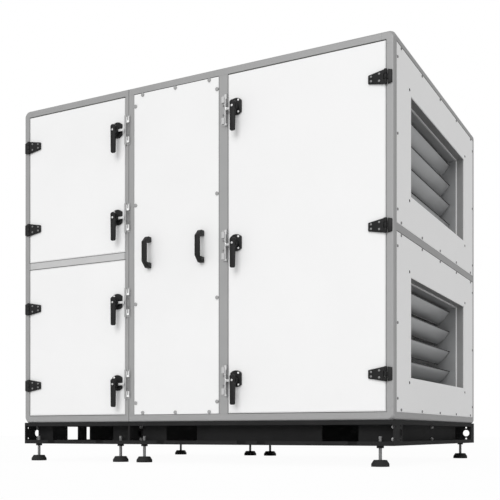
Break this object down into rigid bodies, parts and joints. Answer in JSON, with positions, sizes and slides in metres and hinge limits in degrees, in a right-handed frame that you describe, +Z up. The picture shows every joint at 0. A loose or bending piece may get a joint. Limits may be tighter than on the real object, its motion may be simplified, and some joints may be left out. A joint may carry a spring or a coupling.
{
  "type": "air handling unit",
  "caption": "Air handling unit in two joined modules on a steel base with levelling feet: framed casing, hinged doors with lever latches and louvre dampers in its ends.",
  "frame": {"origin": "on the floor under the centre of the bounding box", "axes": "+X to the right along the front, +Y from the front to the back, +Z up"},
  "size_m": [1.85, 1.3954, 1.681],
  "materials": {
    "frame": "satin",
    "damper_sheet": "satin",
    "blade": "satin",
    "base": "satin",
    "foot_plastic": "matte",
    "zinc": "satin",
    "inner_sheet": "satin",
    "black_plastic": "matte",
    "white_paint": "satin"
  },
  "bodies": {
    "casing": {"left_frame": "frame", "right_frame": "frame", "roof_panels": "white_paint", "floor_panels": "white_paint", "left_end_panels": "white_paint", "back_panels": "white_paint", "middle_front_panel": "white_paint", "right_upper_end_panel": "white_paint", "right_lower_end_panel": "white_paint", "mid_floors": "inner_sheet", "upper_damper_frame": "damper_sheet", "lower_damper_frame": "damper_sheet", "left_damper_frames": "damper_sheet", "left_damper_blades": "blade", "left_base_frame": "base", "right_base_frame": "base", "base_corner_plates": "base", "foot_pads": "foot_plastic", "foot_studs": "zinc", "hinge_frame_leaves": "black_plastic", "latch_keepers": "zinc", "bow_handles": "black_plastic"},
    "upper_left_door": {"upper_left_door": "white_paint", "upper_left_fittings": "black_plastic"},
    "lower_left_door": {"lower_left_door": "white_paint", "lower_left_fittings": "black_plastic"},
    "right_door": {"right_door": "white_paint", "right_fittings": "black_plastic"},
    "left_lever_1": {"left_lever_1": "black_plastic"},
    "left_lever_2": {"left_lever_2": "black_plastic"},
    "left_lever_3": {"left_lever_3": "black_plastic"},
    "left_lever_4": {"left_lever_4": "black_plastic"},
    "right_lever_1": {"right_lever_1": "black_plastic"},
    "right_lever_2": {"right_lever_2": "black_plastic"},
    "right_lever_3": {"right_lever_3": "black_plastic"},
    "upper_blade_1": {"upper_blade_1": "blade"},
    "upper_blade_2": {"upper_blade_2": "blade"},
    "upper_blade_3": {"upper_blade_3": "blade"},
    "upper_blade_4": {"upper_blade_4": "blade"},
    "lower_blade_1": {"lower_blade_1": "blade"},
    "lower_blade_2": {"lower_blade_2": "blade"},
    "lower_blade_3": {"lower_blade_3": "blade"},
    "lower_blade_4": {"lower_blade_4": "blade"}
  },
  "joints": [
    {"name": "upper_left_door_swing", "type": "hinge", "parent": "casing", "child": "upper_left_door", "pos_m": [-0.893, -0.65775, 1.298], "axis": [0, 0, -1], "range_deg": [0, 120]},
    {"name": "lower_left_door_swing", "type": "hinge", "parent": "casing", "child": "lower_left_door", "pos_m": [-0.893, -0.65775, 0.564], "axis": [0, 0, -1], "range_deg": [0, 120]},
    {"name": "right_door_swing", "type": "hinge", "parent": "casing", "child": "right_door", "pos_m": [0.893, -0.65775, 0.931], "axis": [0, 0, 1], "range_deg": [0, 120]},
    {"name": "left_lever_1_turn", "type": "hinge", "parent": "lower_left_door", "child": "left_lever_1", "pos_m": [-0.373, -0.67775, 0.351], "axis": [0, 1, 0], "range_deg": [0, 90]},
    {"name": "left_lever_2_turn", "type": "hinge", "parent": "lower_left_door", "child": "left_lever_2", "pos_m": [-0.373, -0.67775, 0.719], "axis": [0, 1, 0], "range_deg": [0, 90]},
    {"name": "left_lever_3_turn", "type": "hinge", "parent": "upper_left_door", "child": "left_lever_3", "pos_m": [-0.373, -0.67775, 1.1], "axis": [0, 1, 0], "range_deg": [0, 90]},
    {"name": "left_lever_4_turn", "type": "hinge", "parent": "upper_left_door", "child": "left_lever_4", "pos_m": [-0.373, -0.67775, 1.495], "axis": [0, 1, 0], "range_deg": [0, 90]},
    {"name": "right_lever_1_turn", "type": "hinge", "parent": "right_door", "child": "right_lever_1", "pos_m": [0.238, -0.67775, 0.352], "axis": [0, -1, 0], "range_deg": [0, 90]},
    {"name": "right_lever_2_turn", "type": "hinge", "parent": "right_door", "child": "right_lever_2", "pos_m": [0.238, -0.67775, 0.924], "axis": [0, -1, 0], "range_deg": [0, 90]},
    {"name": "right_lever_3_turn", "type": "hinge", "parent": "right_door", "child": "right_lever_3", "pos_m": [0.238, -0.67775, 1.496], "axis": [0, -1, 0], "range_deg": [0, 90]},
    {"name": "upper_blade_1_turn", "type": "hinge", "parent": "casing", "child": "upper_blade_1", "pos_m": [0.825, 0.02025, 1.1465], "axis": [0, 1, 0], "range_deg": [-45, 45]},
    {"name": "upper_blade_2_turn", "type": "hinge", "parent": "casing", "child": "upper_blade_2", "pos_m": [0.825, 0.02025, 1.2455], "axis": [0, 1, 0], "range_deg": [-45, 45]},
    {"name": "upper_blade_3_turn", "type": "hinge", "parent": "casing", "child": "upper_blade_3", "pos_m": [0.825, 0.02025, 1.3445], "axis": [0, 1, 0], "range_deg": [-45, 45]},
    {"name": "upper_blade_4_turn", "type": "hinge", "parent": "casing", "child": "upper_blade_4", "pos_m": [0.825, 0.02025, 1.4435], "axis": [0, 1, 0], "range_deg": [-45, 45]},
    {"name": "lower_blade_1_turn", "type": "hinge", "parent": "casing", "child": "lower_blade_1", "pos_m": [0.825, 0.02025, 0.4105], "axis": [0, 1, 0], "range_deg": [-45, 45]},
    {"name": "lower_blade_2_turn", "type": "hinge", "parent": "casing", "child": "lower_blade_2", "pos_m": [0.825, 0.02025, 0.5095], "axis": [0, 1, 0], "range_deg": [-45, 45]},
    {"name": "lower_blade_3_turn", "type": "hinge", "parent": "casing", "child": "lower_blade_3", "pos_m": [0.825, 0.02025, 0.6085], "axis": [0, 1, 0], "range_deg": [-45, 45]},
    {"name": "lower_blade_4_turn", "type": "hinge", "parent": "casing", "child": "lower_blade_4", "pos_m": [0.825, 0.02025, 0.7075], "axis": [0, 1, 0], "range_deg": [-45, 45]}
  ],
  "couplings": [
    {"joint": "upper_blade_2_turn", "follows": "upper_blade_1_turn", "ratio": 1},
    {"joint": "upper_blade_3_turn", "follows": "upper_blade_1_turn", "ratio": 1},
    {"joint": "upper_blade_4_turn", "follows": "upper_blade_1_turn", "ratio": 1},
    {"joint": "lower_blade_2_turn", "follows": "lower_blade_1_turn", "ratio": 1},
    {"joint": "lower_blade_3_turn", "follows": "lower_blade_1_turn", "ratio": 1},
    {"joint": "lower_blade_4_turn", "follows": "lower_blade_1_turn", "ratio": 1}
  ]
}
